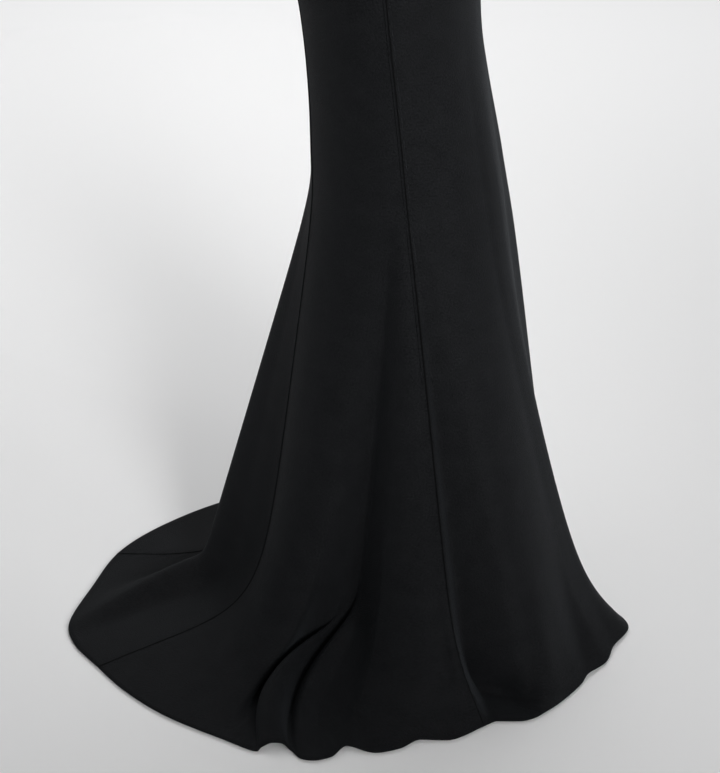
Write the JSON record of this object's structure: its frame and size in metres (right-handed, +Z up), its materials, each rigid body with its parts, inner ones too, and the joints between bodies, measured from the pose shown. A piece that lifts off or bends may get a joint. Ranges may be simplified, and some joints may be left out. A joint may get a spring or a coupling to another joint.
{
  "type": "mermaid gown",
  "caption": "Floor-length black crepe mermaid gown with a strapless bodice, a fitted body and a flared hem that lies out into a short train.",
  "frame": {"origin": "the middle of the waist, where the wearer holds the gown up", "axes": "+Z up along the wearer, -Y to the gown's front, -X to the wearer's right; the train lies towards +Y"},
  "size_m": [0.712, 0.7675, 1.398],
  "materials": {
    "crepe": "matte"
  },
  "bodies": {
    "root": {"front_panel": "crepe", "right_side_back_panel": "crepe", "center_back_panel": "crepe", "left_side_back_panel": "crepe"}
  },
  "joints": []
}
